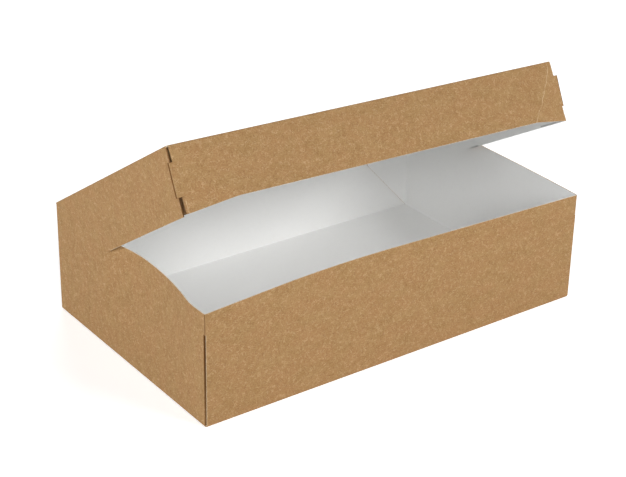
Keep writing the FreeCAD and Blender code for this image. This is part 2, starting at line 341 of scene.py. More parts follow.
# each mask from Tint on has its amount and its colour
kraftLook = {
    "base": (0.303, 0.167, 0.061, 1),
    "cloud": (0.356, 0.210, 0.085, 1),
    "Tint": (0.6, (0.353, 0.179, 0.074, 1)),
    "Grain": (0.6, (0.450, 0.282, 0.126, 1)),
    "Pale Fibre": (0.42, (0.66, 0.47, 0.27, 1)),
    "Dark Fibre": (0.42, (0.210, 0.105, 0.038, 1)),
    "Wear": (0.85, (0.64, 0.48, 0.30, 1)),
    "Shade": (0.95, (0.120, 0.046, 0.008, 1)),
    "Cloud Size": 52.0,
    "Grain Size": 760.0,
    "Fibre Size": 350.0,
    "Fibre Share": 0.43,
    "roughness": 0.82,
    "specular": 0.25,
    "relief": 0.00007,
}
whiteLook = {
    "base": (0.935, 0.935, 0.922, 1),
    "cloud": (0.950, 0.950, 0.940, 1),
    "Tint": (0.4, (0.938, 0.934, 0.920, 1)),
    "Grain": (0.25, (0.955, 0.955, 0.95, 1)),
    "Pale Fibre": (0.12, (0.95, 0.95, 0.95, 1)),
    "Dark Fibre": (0.12, (0.82, 0.815, 0.80, 1)),
    "Wear": (0.3, (0.93, 0.93, 0.925, 1)),
    "Shade": (0.9, (0.10, 0.10, 0.095, 1)),
    "Cloud Size": 14.0,
    "Grain Size": 420.0,
    "Fibre Size": 240.0,
    "Fibre Share": 0.45,
    "roughness": 0.6,
    "specular": 0.35,
    "relief": 0.00003,
}
edgeLook = {
    "base": (0.40, 0.27, 0.145, 1),
    "cloud": (0.50, 0.37, 0.22, 1),
    "Tint": (0.5, (0.45, 0.29, 0.16, 1)),
    "Grain": (0.5, (0.62, 0.50, 0.35, 1)),
    "Pale Fibre": (0.6, (0.78, 0.70, 0.57, 1)),
    "Dark Fibre": (0.6, (0.28, 0.17, 0.08, 1)),
    "Wear": (1.0, (0.88, 0.84, 0.77, 1)),
    "Shade": (0.95, (0.140, 0.056, 0.010, 1)),
    "Cloud Size": 90.0,
    "Grain Size": 700.0,
    "Fibre Size": 320.0,
    "Fibre Share": 0.45,
    "roughness": 0.9,
    "specular": 0.2,
    "relief": 0.00008,
}
fibreGroup = makeFibreGroup()
kraft = makeBoardMaterial("kraftLiner", kraftLook)
whiteLiner = makeBoardMaterial("whiteLiner", whiteLook)
cutEdge = makeBoardMaterial("cutBoardEdge", edgeLook)
print("materials ready")

tray = {
    "left": trayLow.x,
    "right": -trayLow.x,
    "front": trayLow.y,
    "rear": trayHigh.y,
    "height": trayHigh.z,
    "creaseDrop": 0.8 * mm,  # the crease strip starts this far under the rear wall's top
    "frontBow": 6.8 * mm,  # the front rim's two runs would meet this far in
    "frontBowAt": 76 * mm,  # from the left end
    "frontRound": 4.8 * mm,
    "frontCurl": 1.7,  # over 1 the front wall bends most near its rim
    "frontEnds": 6 * mm,  # the bow comes on over this far from each end
    "leftBow": 5.9 * mm,
    "leftBowAt": 60 * mm,  # from the front end
    "leftBowFront": 47 * mm,  # how far the bow runs each way from there
    "leftBowRear": 31.5 * mm,
    "leftRound": 0.16,  # how softly the bow ends
    "rightBow": trayHigh.x + trayLow.x,
    "slitHeight": 49 * mm,
    "slit": (0.8 * mm, 0.15 * mm),  # left and right
    "tuckRadius": 0.45 * mm,  # the bend of the glue flaps inside the front corners
    "covered": 25 * mm,  # behind this the lid's left flange covers the left rim
    # painted shade on the left rim where the flange covers it
    "coveredRimShade": -0.3,
    "rightWear": 0.2,
    "frontFlap": 22 * mm,
    "rearFlap": 29.5 * mm,
    "rearSlope": 32 * mm,  # how much its lower edge rises over its length
    "rearFoot": 0.7 * mm,  # the slanted edge starts this high at the corner
    "rearRows": 12,
    "flapDrop": 1.2 * mm,  # the glued flaps end this far under the rim
    "flapGap": 0.04 * mm,
    "seamGap": {-1: 0.55 * mm, 1: 0.15 * mm},  # the front wall stands off its glue flaps at its ends
    "seamFade": 12 * mm,
    "seamShade": (0.5, 0.95),  # how dark the painted shade in the seam is at its foot and its top
    "tuckShade": (1.6, 0.7),  # how fast the painted shade comes on round the tuck, and how late
}
radius = sheet["foldRadius"]
board = sheet["board"]


def heightShare(z):
    return max(0.0, (z - radius) / (tray["height"] - radius))


def frontBow(x):
    run = x - tray["left"] - radius
    length = tray["right"] - tray["left"] - 2 * radius
    rise = tray["frontBow"] * run / tray["frontBowAt"]
    fall = tray["frontBow"] * (length - run) / (length - tray["frontBowAt"])
    ends = smooth(run / tray["frontEnds"]) * smooth((length - run) / tray["frontEnds"])
    return max(0.0, softMin(rise, fall, tray["frontRound"])) * ends


def leftBow(y):
    run = y - tray["front"] - tray["leftBowAt"]
    length = tray["leftBowRear"] if run > 0 else tray["leftBowFront"]
    return -tray["leftBow"] * softMin((run / length) ** 2 - 1, 0.0, tray["leftRound"])


def rightBow(y):
    half = tray["rear"] - radius
    return tray["rightBow"] * max(0.0, 1 - (y / half) ** 2)


def frontWall(x, z, depth=0.0):
    return Vector((x, tray["front"] + frontBow(x) * heightShare(z) ** tray["frontCurl"] + depth, z))


def leftWall(y, z, depth=0.0):
    return Vector((tray["left"] + leftBow(y) * heightShare(z) + depth, y, z))


def rightWall(y, z, depth=0.0):
    return Vector((tray["right"] + rightBow(y) * heightShare(z) - depth, y, z))


# from the front wall's face to its glue flap's, at a distance from the corner
def glueDepth(side, run):
    gap = tray["seamGap"][side] * (1 - smooth(run / tray["seamFade"]))
    return board + tray["flapGap"] + gap


# makes a panel of lines of nodes; lines that run up are given from left to right, as the brown side is seen
def stand(made, columns, keep=None):
    made.panel([[line[r] for line in columns] for r in range(len(columns[0]))], keep)


def turnedRound(rows):
    return [row[::-1] for row in rows]


def buildTray():
    made = Board()
    left, right, front, rear = (tray[k] for k in ("left", "right", "front", "rear"))
    top = tray["height"]
    edgeRow = sheet["edgeRow"]
    tuckEnd = front + glueDepth(-1, tray["tuckRadius"]) + tray["tuckRadius"]
    otherEnd = front + glueDepth(1, tray["tuckRadius"]) + tray["tuckRadius"]
    slitLeft, slitRight = tray["slit"]
    inner = right - radius - edgeRow
    slitEnd = left + slitLeft + edgeRow / 2
    xs = [left + radius, left + slitLeft, slitEnd]
    xs += stops(slitEnd + edgeRow, inner - edgeRow, sheet["columnStep"])
    xs += [inner, right - radius]
    ys = [front + radius, otherEnd, tuckEnd]
    ys += stops(tuckEnd, rear - radius - edgeRow, sheet["columnStep"])[1:]
    ys += [rear - radius]
    zs = [radius] + stops(radius + edgeRow, tray["slitHeight"] - edgeRow, sheet["rowStep"])
    zs += [tray["slitHeight"]]
    zs += stops(tray["slitHeight"], top - edgeRow, sheet["rowStep"])[1:] + [top]
    rearZs = [z for z in zs if z < top - sheet["lastRow"]] + [top - tray["creaseDrop"]]
    arc = quarterTurn()

    made.panel([[(Vector((x, y, 0)), (x, y)) for x in reversed(xs)] for y in ys])

    # one upright line of nodes: the foot's bend, then the wall
    def column(base, out, face, flatOf, heights, wearAndShade=0.0, rimWearAndShade=sheet["rimWearAndShade"]):
        line = []
        for a in arc[:-1]:
            point = base + out * (radius * math.sin(a))
            place = Vector((point.x, point.y, radius * (1 - math.cos(a))))
            line.append((place, flatOf(radius * a), max(wearAndShade, foldWear(a))))
        rim = [rimWearAndShade if z == top else wearAndShade for z in heights]
        return line + [(face(z), flatOf(z), wornAndShaded) for z, wornAndShaded in zip(heights, rim)]

    def corner(cx, cy, startAngle, fold=foldWear):
        centre = Vector((cx, cy, 0))
        spread = sheet["cornerPattern"]
        turned = []
        for a in arc:
            out = Vector((math.cos(startAngle + a), math.sin(startAngle + a), 0))
            turned.append(column(
                centre,
                out,
                lambda z, out=out: centre + out * radius + Vector((0, 0, z)),
                lambda h, out=out: (cx + out.x * h * spread, cy + out.y * h * spread),
                zs,
                fold(a),
            ))
        return turned

    # the upright lines of a wall, at places along it
    def wall(places, out, base, face, flat, heights=zs, rim=lambda s: sheet["rimWearAndShade"]):
        lines = []
        for s in places:
            point, place = (lambda z, s=s: face(s, z)), (lambda h, s=s: flat(s, h))
            lines.append(column(Vector(base(s)), Vector(out), point, place, heights, rimWearAndShade=rim(s)))
        return lines

    # the left rim is worn light in front, and has painted shade under the flange
    def leftRim(y):
        return sheet["rimWearAndShade"] if y < tray["covered"] else tray["coveredRimShade"]

    base, flat = (lambda y: (left + radius, y, 0)), (lambda y, h: (left - h, y))
    leftLines = wall(reversed(ys), (-1, 0, 0), base, leftWall, flat, rim=leftRim)
    base, flat = (lambda x: (x, front + radius, 0)), (lambda x, h: (x, front - h))
    frontLines = wall(xs, (0, -1, 0), base, frontWall, flat)
    base, flat = (lambda y: (right - radius, y, 0)), (lambda y, h: (right + h, y))
    rightLines = wall(ys, (1, 0, 0), base, rightWall, flat, rim=lambda y: tray["rightWear"])
    base, flat = (lambda x: (x, rear - radius, 0)), (lambda x, h: (x, rear + h))
    rearLines = wall(reversed(xs), (0, 1, 0), base, lambda x, z: Vector((x, rear, z)), flat, rearZs)
    # the front corners carry painted shade along their bends
    frontLeft = corner(left + radius, front + radius, math.pi, foldShade)
    frontRight = corner(right - radius, front + radius, -math.pi / 2, foldShade)
    rearRight = corner(right - radius, rear - radius, 0)
    rearLeft = corner(left + radius, rear - radius, math.pi / 2)
    slitRow = len(arc) - 1 + zs.index(tray["slitHeight"])

    # under the slits the front wall has free ends
    for index, shift, wornAndShaded in ((2, 0.0, sheet["endWear"]), (-2, right - slitRight - inner, 0.0)):
        line = frontLines[index]
        for r, (place, flat, _) in enumerate(line[:slitRow]):
            place.x += shift * min(1.0, place.z / radius)
            line[r] = (place, flat, wornAndShaded)

    foot = len(arc) - 1
    lastColumn = len(frontLines) - 2
    for columns, keep in (
        (leftLines, lambda r, c: c < len(leftLines) - 3 or r >= slitRow or r < foot),
        (frontLeft, lambda r, c: r >= slitRow),
        (frontLines, lambda r, c: c not in (0, lastColumn) or r >= slitRow or (c == 0 and r < foot)),
        (frontRight, lambda r, c: r >= slitRow),
        (rightLines, lambda r, c: c != 0 or r >= slitRow or r < foot),
        (rearRight, None),
        (rearLeft, None),
        (rearLines, None),
    ):
        stand(made, columns, keep)
    frontGlueFlaps(made, zs, slitRow - len(arc) + 1)
    rearGlueFlaps(made)
    return made


# painted shade in the front corners' seams, darker higher up
def seamShade(z):
    foot, top = tray["seamShade"]
    return -foot - (top - foot) * min(1.0, z / tray["slitHeight"])


# each is folded from its side wall and lies inside the front wall
def frontGlueFlaps(made, zs, slitRow):
    tuck = tray["tuckRadius"]
    rise, delay = tray["tuckShade"]
    topZ = tray["height"] - tray["flapDrop"]
    heights = [z for z in zs if z < topZ - sheet["lastRow"]] + [topZ]
    for side in (-1, 1):
        corner = side * tray["right"]
        centre = Vector((corner - side * tuck, tray["front"] + glueDepth(side, tuck) + tuck, 0))
        turns = []
        # painted shade on the tuck and on the flap near the corner, where the seam shows them
        for a in quarterTurn():
            out = Vector((side * math.cos(a), -math.sin(a), 0)) * tuck
            flat = (corner, tray["front"] - tuck * a)
            shade = smooth(rise * a - delay)
            turns.append([
                (centre + out + Vector((0, 0, z)), (flat[0] + side * z, flat[1]), shade * seamShade(z))
                for z in heights
            ])
        flaps = []
        for x in stops(corner - side * tuck, corner - side * tray["frontFlap"], sheet["columnStep"]):
            run = abs(corner - x)
            depth = glueDepth(side, run)
            flat = (corner, tray["front"] - run)
            shade = max(0.0, 1 - (run - tuck) / tray["seamFade"])
            flaps.append([
                (frontWall(x, z, depth), (flat[0] + side * z, flat[1]), shade * seamShade(z))
                for z in heights
            ])

        for columns, count in ((turns, slitRow + 1), (flaps, len(heights))):
            columns = [line[:count] for line in columns]
            stand(made, columns if side < 0 else columns[::-1])


# each lies inside the rear wall, with its lower edge cut at a slant
def rearGlueFlaps(made):
    topZ = tray["height"] - tray["flapDrop"]
    depth = board + tray["flapGap"]
    for side in (-1, 1):
        corner = side * (tray["right"] - board)
        columns = []
        for x in stops(corner, corner - side * tray["rearFlap"], sheet["columnStep"]):
            run = abs(corner - x)
            foot = tray["rearFoot"] + run * tray["rearSlope"] / tray["rearFlap"]
            columns.append([
                (Vector((x, tray["rear"] - depth, z)), (side * (tray["right"] + z), tray["rear"] + run))
                for z in stops(foot, topZ, (topZ - foot) / tray["rearRows"])
            ])
        stand(made, columns if side > 0 else columns[::-1])


trayBoard = buildTray().finish("tray_board")
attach(trayBoard, "tray")
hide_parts("tray")
print("tray ready")

# The lid is described closed: x runs to the right, reach forwards from the crease, drop down from the panel.
lid = {
    "angle": 31.3,
    "twist": 1.42,  # the left side stands this much further open, the right side less
    "depth": 131.5 * mm,
    "start": 1.0 * mm,  # where the crease strip ends
    "crown": 0.5 * mm,
    "flangeLeft": -115.56 * mm,
    "flangeRight": 112.7 * mm,
    "rearRight": 114.0 * mm,  # the right edge at the crease; it narrows to flangeRight
    "narrowing": 60 * mm,  # over this reach
    "foldLeft": -114.4 * mm,  # the front flap's end folds
    "foldRight": 112.16 * mm,
    "drop": 31.8 * mm,
    "leftDrop": (33.4 * mm, 32.4 * mm),  # left flange, where its taper ends and at the front
    "middleDrop": 29.4 * mm,  # the flap is less deep between its ends
    "flapEnd": 24.5 * mm,
    "flare": (3.4 * mm, 6.4 * mm),  # how far the flap's foot stands out, left and right
    "creaseBend": 1.25,  # the flap's slanted crease at the right end is a little curved
    "creaseStart": 1.6 * mm,  # how far it is from the right end at its top
    "creaseWidth": 0.4 * mm,
    "creaseWobble": ((0.35 * mm, 1.1), (0.25 * mm, 2.9)),  # how far it strays, and how fast
    "footSpan": 9,  # millimetres that the rows under the ears stand for
    "creaseWear": (1.0, 0.7, 0.9),  # for one row after another
    "footWear": 0.8,  # of the flap and the left flange
    "wearFade": 4 * mm,
    "slope": {-1: 41 * mm, 1: 36 * mm},  # where the left and right flanges' slanted edges end
    "clearance": 0.5 * mm,  # they start this far in front of the crease
    "leastTaper": 0.05,  # share of the flange's depth that is left at the crease
    "setback": {-1: 3.8 * mm, 1: 0.0},  # how far a flange's front edge runs back at its foot
    "leftSink": 0.48 * mm,  # the left flange's slanted edge is pressed thin against the wall
    "sinkFade": 12 * mm,
    "thinning": 0.9,  # share of the board's thickness that the pressing takes
    "rightPush": 1.6 * mm,  # the right flange leans out by this, most where its slant ends
    "pushFade": 60 * mm,
    "shadow": (36 * mm, 54 * mm),  # where the painted shadow on the right flange's foot runs, from and to
    "shadowDark": 0.62,
    "shadowFade": 3 * mm,
    "frontRimShade": -0.8,  # painted shade on the left flange's front rim, against the flap
    "earTop": 7.8 * mm,
    "earFoot": 24 * mm,
    "ear": {-1: (2.8 * mm, 4.0 * mm), 1: (2.2 * mm, 1.0 * mm)},  # how far it stands out, top and foot
    "tab": {-1: 9 * mm, 1: 20 * mm},  # how far it runs back from the flap
    "leftTabLean": 1.8 * mm,
    "seamShade": -0.5,  # painted shade on the left tab, beside the flange's front edge
    "seamLeast": 0.1 * mm,
    "seamRun": (0.35 * mm, 0.3 * mm, 1.1 * mm),  # its start before the flange's edge, and columns past that
    "taper": {-1: 0.4 * mm, 1: 0.3 * mm},  # a tab's free edge is this much shorter, above and below
    "taperRun": 6 * mm,
    "tabStep": 3 * mm,
    "earRim": (0.75 * mm, 0.5 * mm, 0.26 * mm),  # columns this far from the ear's end
    "earWearAndShade": (0, 0, 0, 0.6, -0.9, -1.0),  # from the fold out to the end: a worn light line, then painted shade at the ear's cut edge
    "earSlitShade": -0.9,  # painted shade along the slits above and under the ear
    "flapRows": (2.4 * mm, 2.6 * mm),  # over the ears and beside them
    "earInset": 0.3 * mm,
    "footRows": (0.3, 0.6, 0.86, 0.94, 1.0),  # shares of the way from the ears to the flap's foot
    "flangeRows": (0.015, 0.95, 0.985),  # narrow rows beside the flange's fold and its foot
}
flapLeft = lid["foldLeft"] + radius
flapRight = lid["foldRight"] - radius


# a place on the closed lid, moved to where the lid stands open; out is away from the flap's face
def lidPoint(x, reach, drop, out=0.0, aside=0.0):
    angle = math.radians(lid["angle"] - lid["twist"] * x / tray["right"])
    y = -(reach + out)
    z = board / 2 - drop
    forward = y * math.cos(angle) + z * math.sin(angle)
    up = -y * math.sin(angle) + z * math.cos(angle)
    return Vector((x + aside, hinge.y + forward, hinge.z + up))


def lidFlat(x, reach, drop):
    return (x, tray["rear"] + tray["height"] + reach + drop)


def rightEdge(reach):
    return lid["rearRight"] + (lid["flangeRight"] - lid["rearRight"]) * min(1.0, reach / lid["narrowing"])


def panelCrown(x, reach):
    across = (x - lid["flangeLeft"]) / (lid["flangeRight"] - lid["flangeLeft"])
    along = reach / lid["depth"]
    return lid["crown"] * 16 * across * (1 - across) * along * (1 - along)  # full in the middle


# how far the flange's foot is under the panel
def flangeDrop(side, reach):
    slope = lid["slope"][side]
    taper = max(lid["leastTaper"], min(1.0, (reach - lid["clearance"]) / (slope - lid["clearance"])))
    if side > 0:
        return lid["drop"] * taper
    deep, front = lid["leftDrop"]
    share = max(0.0, (reach - slope) / (lid["depth"] - slope))
    return (deep + (front - deep) * share) * taper


# how far the flange leans along X: the left one's slanted edge into the wall, the right one outwards
def flangeLean(side, reach, drop):
    foot = max(0.0, drop - radius) / (flangeDrop(side, reach) - radius)
    if side < 0:
        return lid["leftSink"] * smooth(foot) * (1 - smooth((reach - lid["slope"][-1]) / lid["sinkFade"]))
    held = min(reach, lid["slope"][1])
    fade = 1 - smooth((reach - held) / lid["pushFade"])
    return lid["rightPush"] * smooth(held / lid["slope"][1]) * drop / lid["drop"] * fade


# the left flange's foot is worn light, and the right one's has a painted shadow where it leaves the tray
def flangeWearAndShadow(side, reach, down):
    if side < 0:
        return lid["footWear"] * smooth((reach - lid["slope"][-1]) / lid["wearFade"]) if down == 1 else 0.0
    start, end = lid["shadow"]
    if down < lid["flangeRows"][-1]:
        return 0.0
    fade = 1 - smooth((reach - end) / lid["shadowFade"])
    return -lid["shadowDark"] * smooth((reach - start) / (end - start)) * fade


def flapDrop(x):
    end = min(x - lid["foldLeft"], lid["foldRight"] - x, lid["flapEnd"]) / lid["flapEnd"]
    return lid["drop"] + (lid["middleDrop"] - lid["drop"]) * max(0.0, end)


# a row of the flap is at one drop, or under the ears at a share of the way to the foot
def rowDrop(row, x):
    return row[0] + (flapDrop(x) - row[0]) * row[1]


# how far the slanted crease is from the flap's right end
def creaseOffset(row):
    down = (row[0] + (lid["middleDrop"] - row[0]) * row[1] - radius) / (lid["middleDrop"] - radius)
    turn = row[0] / mm + row[1] * lid["footSpan"]
    wobble = sum(far * math.sin(fast * turn) for far, fast in lid["creaseWobble"])
    run = (lid["flapEnd"] - lid["creaseStart"]) * max(0.0, down) ** lid["creaseBend"]
    return lid["creaseStart"] + run + wobble


# columns from left to right, the last ones on both sides of the slanted crease
def lidColumns(left, right, offset):
    width = lid["creaseWidth"]
    middle = right - offset - 2 * width
    near = offset - width
    columns = stops(left + sheet["edgeRow"], middle, (middle - left) / sheet["lidColumns"])
    columns += [right - offset - width, right - offset]
    return [left] + columns + [right - near * k / 4 for k in (4, 3, 2, 1, 0)]


# how far the flap stands out; the flat triangle right of the crease brings it back to the corner
def flare(x, drop, offset):
    start, end = lid["flare"]
    most = start + (end - start) * (x - flapLeft) / (flapRight - flapLeft)
    fromLeft = smooth(0.5 * min(1.0, (x - flapLeft) / lid["flapEnd"])) * 2
    return most * drop / lid["middleDrop"] * min(1.0, (flapRight - x) / offset) * min(1.0, fromLeft)


def buildFlap(made):
    depth = lid["depth"]
    first = (radius, 0.0)
    over, beside = lid["flapRows"]
    inset = lid["earInset"]

    def node(x, reach, drop, wornAndShaded, out=0.0):
        return lidPoint(x, reach, drop, out), lidFlat(x, depth, drop), wornAndShaded

    rows = [first] + [(drop, 0.0) for drop in stops(radius + sheet["edgeRow"], lid["earTop"], over)]
    topEar = len(rows) - 1
    rows += [(drop, 0.0) for drop in stops(lid["earTop"] + inset, lid["earFoot"] - inset, beside)]
    footEar = len(rows)
    rows.append((lid["earFoot"], 0.0))
    rows += [(lid["earFoot"], share) for share in lid["footRows"]]

    # the fold between the panel and the flap
    panelXs = lidColumns(lid["flangeLeft"] + radius, rightEdge(depth) - radius, lid["creaseStart"])
    flapXs = lidColumns(flapLeft, flapRight, lid["creaseStart"])
    grid = []
    for a in quarterTurn():
        row = []
        for panelX, flapX in zip(panelXs, flapXs):
            x = panelX + (flapX - panelX) * math.sin(a)
            reach = depth - radius + radius * math.sin(a)
            drop = radius * (1 - math.cos(a))
            row.append(node(x, reach, drop, foldWear(a)))
        grid.append(row)
    made.panel(turnedRound(grid))

    grid = []
    for r, row in enumerate(rows):
        offset = creaseOffset(row)
        columns = lidColumns(flapLeft, flapRight, offset)
        crease = len(columns) - 6  # the column on the crease itself
        line = []
        for c, x in enumerate(columns):
            drop = rowDrop(row, x)
            wearAndShade = lid["footWear"] if row == rows[-1] else 0.0
            if c == crease and row != first:
                wearAndShade = lid["creaseWear"][r % len(lid["creaseWear"])]
            line.append(node(x, depth, drop, wearAndShade, flare(x, drop, offset)))
        grid.append(line)
    made.panel(turnedRound(grid))

    # at each end the fold to the tab, but for the ear's rows, where the ear stands out in the flap's plane
    for side in (-1, 1):
        edge = flapLeft if side < 0 else flapRight
        tab = lid["tab"][side]
        top, foot = lid["ear"][side]
        bend, ears, tabs = [], [], []
        for row in rows:
            drop = rowDrop(row, edge - side * radius)
            line = []
            for a in quarterTurn():
                x = edge + side * radius * math.sin(a)
                reach = depth - radius * (1 - math.cos(a))
                # under the ears the fold is twice as light: its wear, doubled as a painted highlight
                line.append(node(x, reach, drop, (2 if row[1] else 1) * foldWear(a)))
            bend.append(line)
            share = (drop - lid["earTop"]) / (lid["earFoot"] - lid["earTop"])
            length = radius + top + (foot - top) * share
            line = []
            # the ear's edge gets a worn light line, then painted shade, and its slits get painted shade
            for step, wornAndShaded in zip([length, length / 2, *lid["earRim"], 0], lid["earWearAndShade"]):
                x = edge + side * (length - step)
                if row in (rows[topEar], rows[footEar]) and step < length:
                    wornAndShaded = lid["earSlitShade"]
                line.append(node(x, depth, drop, wornAndShaded))
            ears.append(line)
            line = []
            down = (drop - radius) / (lid["drop"] - radius)
            steps = stops(0, tab - radius, lid["tabStep"])
            # the right tab's two lowest rows get painted shade, for the dark gap under the right flange
            dark = steps[-1] if side > 0 and row in rows[-2:] else 1.0
            if side < 0:  # painted shade on the tab where it passes under the flange's front edge
                before, near, far = lid["seamRun"]
                dark = max(lid["seamLeast"], lid["setback"][-1] * down - before)
                steps = [0, dark / 2, dark, dark + near, dark + far, tab - radius]
            for step in steps:
                taper = lid["taper"][side] * min(1.0, step / lid["taperRun"])
                level = radius + taper + (lid["drop"] - radius - 2 * taper) * down
                lean = lid["leftTabLean"] * step / tab if side < 0 else 0.0
                x = edge + side * radius + lean
                shade = lid["seamShade"] if step > dark or dark == steps[-1] else 0.0
                place = lidPoint(x, depth - radius - step, level)
                line.append((place, lidFlat(x + side * step, depth, level), shade))
            tabs.append(line)
        between = [topEar <= r < footEar for r in range(len(rows) - 1)]
        for part, keep in (
            (bend, lambda r, c: not between[r]),
            (ears, lambda r, c: between[r]),
            (tabs, None),
        ):
            made.panel(part if side < 0 else turnedRound(part), keep)


def buildLid():
    made = Board()
    reaches = stops(lid["start"], lid["slope"][1], sheet["columnStep"])
    reaches += stops(lid["slope"][-1], lid["depth"] - radius - sheet["edgeRow"], sheet["columnStep"])
    reaches += [lid["depth"] - radius]
    rows = []
    for reach in reaches:
        columns = lidColumns(lid["flangeLeft"] + radius, rightEdge(reach) - radius, lid["creaseStart"])
        rows.append([(lidPoint(x, reach, -panelCrown(x, reach)), lidFlat(x, reach, 0)) for x in columns])
    made.panel(turnedRound(rows))
    buildFlap(made)

    # flanges: the fold along the panel's edge, then the board down to its foot
    nearFold, *nearFoot = lid["flangeRows"]
    for side in (-1, 1):
        slope = lid["slope"][side]
        lines = []
        for reach in reaches:
            edge = lid["flangeLeft"] if side < 0 else rightEdge(reach)
            line = []
            for a in quarterTurn():
                x = edge - side * radius * (1 - math.sin(a))
                drop = radius * (1 - math.cos(a))
                line.append((lidPoint(x, reach, drop), lidFlat(x, reach, drop), foldWear(a)))
            for down in [nearFold] + stops(0, 0.9, 0.1)[1:] + nearFoot + [1.0]:
                drop = radius + (flangeDrop(side, reach) - radius) * down
                back = lid["setback"][side] * (drop - radius) / lid["drop"]
                back *= smooth((reach - slope) / (lid["depth"] - slope))
                lean = flangeLean(side, reach, drop)
                share = 1 - lid["thinning"] * lean / lid["leftSink"] if side < 0 else 1.0
                place = lidPoint(edge, reach - back, drop, aside=lean)
                # wear on the left foot, painted shadow on the right foot, and painted shade on the left
                # flange's front rim
                wornAndShaded = flangeWearAndShadow(side, reach, down)
                if side < 0 and reach == reaches[-1]:
                    wornAndShaded = lid["frontRimShade"]
                line.append((place, lidFlat(edge + side * drop, reach - back, 0), wornAndShaded, share))
            lines.append(line)
        stand(made, lines if side > 0 else lines[::-1])
    return made


lidBoard = buildLid().finish("lid_board")
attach(lidBoard, "lid")
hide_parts("lid")
print("lid ready")


# a strip from the rear wall's top over to the panel's rear edge, drawn along X
def makeCreaseTree():
    tree, given, out = newGroup(
        "creaseStrip",
        "GeometryNodeTree",
        [
            ("Geometry", "Geometry"),
            ("First", "Vector"),
            ("Bend", "Vector"),
            ("Last", "Vector"),
            ("Width", 0.2),
            ("Steps", 8),
            ("Blank Span", 0.5),
            ("Blank Shift", "Vector"),
            ("Material", "Material"),
        ],
        [("Geometry", "Geometry")],
    )
    sockets = (("Resolution", "Steps"), ("Start", "First"), ("Middle", "Bend"), ("End", "Last"))
    ends = {socket: given[label] for socket, label in sockets}
    profile = newNode(tree, "GeometryNodeCurveQuadraticBezier", ends)
    edges = newNode(tree, "GeometryNodeCurveToMesh", {"Curve": profile})
    across = newNode(tree, "ShaderNodeCombineXYZ", {"X": given["Width"]})
    drag = {"Mesh": edges, "Offset": across, "Offset Scale": 1.0}
    drawn = newNode(tree, "GeometryNodeExtrudeMesh", drag, mode="EDGES")
    turned = newNode(tree, "GeometryNodeFlipFaces", {"Mesh": drawn})
    storeBlank(tree, given, turned, out)
    return tree


# keeps each corner's place on the blank: x stays, and y and z add up
def storeBlank(tree, given, geometry, out):
    place = newNode(tree, "GeometryNodeInputPosition", {})
    parts = newNode(tree, "ShaderNodeSeparateXYZ", {0: place}).outputs
    added = maths(tree, "ADD", parts["Y"], parts["Z"])
    flat = newNode(tree, "ShaderNodeCombineXYZ", {"X": parts["X"], "Y": added})
    shrink = maths(tree, "DIVIDE", 1.0, given["Blank Span"])
    scaled = scaledVector(tree, flat, shrink)
    moved = newNode(tree, "ShaderNodeVectorMath", {0: scaled, 1: given["Blank Shift"]})
    stored = newNode(
        tree,
        "GeometryNodeStoreNamedAttribute",
        {"Name": "blank", "Geometry": geometry, "Value": moved},
        data_type="FLOAT2",
        domain="CORNER",
    )
    solid = newNode(tree, "GeometryNodeRealizeInstances", {0: stored})
    material = {"Geometry": solid, "Material": given["Material"]}
    feed(tree, out[0], newNode(tree, "GeometryNodeSetMaterial", material))


def emptyPiece(name, points=(), edges=()):
    mesh = bpy.data.meshes.new(name)
    mesh.from_pydata(list(points), list(edges), [])
    return newObject(name, mesh)


crease = {
    "rise": 0.45 * mm,  # the strip bends over at this height above the hinge
    "lean": 0.02 * mm,  # and this far behind the wall
    "steps": 8,
}
creaseLeft = tray["left"] + radius
creaseRight = lid["rearRight"] - radius
creaseLow = tray["height"] - tray["creaseDrop"]
creaseLast = lidPoint(0, lid["start"], 0)
creaseStrip = workIn(emptyPiece("crease"), makeCreaseTree(), {
    "First": (creaseLeft, tray["rear"], creaseLow),
    "Bend": (creaseLeft, tray["rear"] + crease["lean"], hinge.z + crease["rise"]),
    "Last": (creaseLeft, creaseLast.y, creaseLast.z),
    "Width": creaseRight - creaseLeft,
    "Steps": crease["steps"],
    "Blank Span": sheet["blankSpan"],
    "Blank Shift": blankShift,
    "Material": kraft,
})
thicken(creaseStrip)
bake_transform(creaseStrip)
print("crease ready")


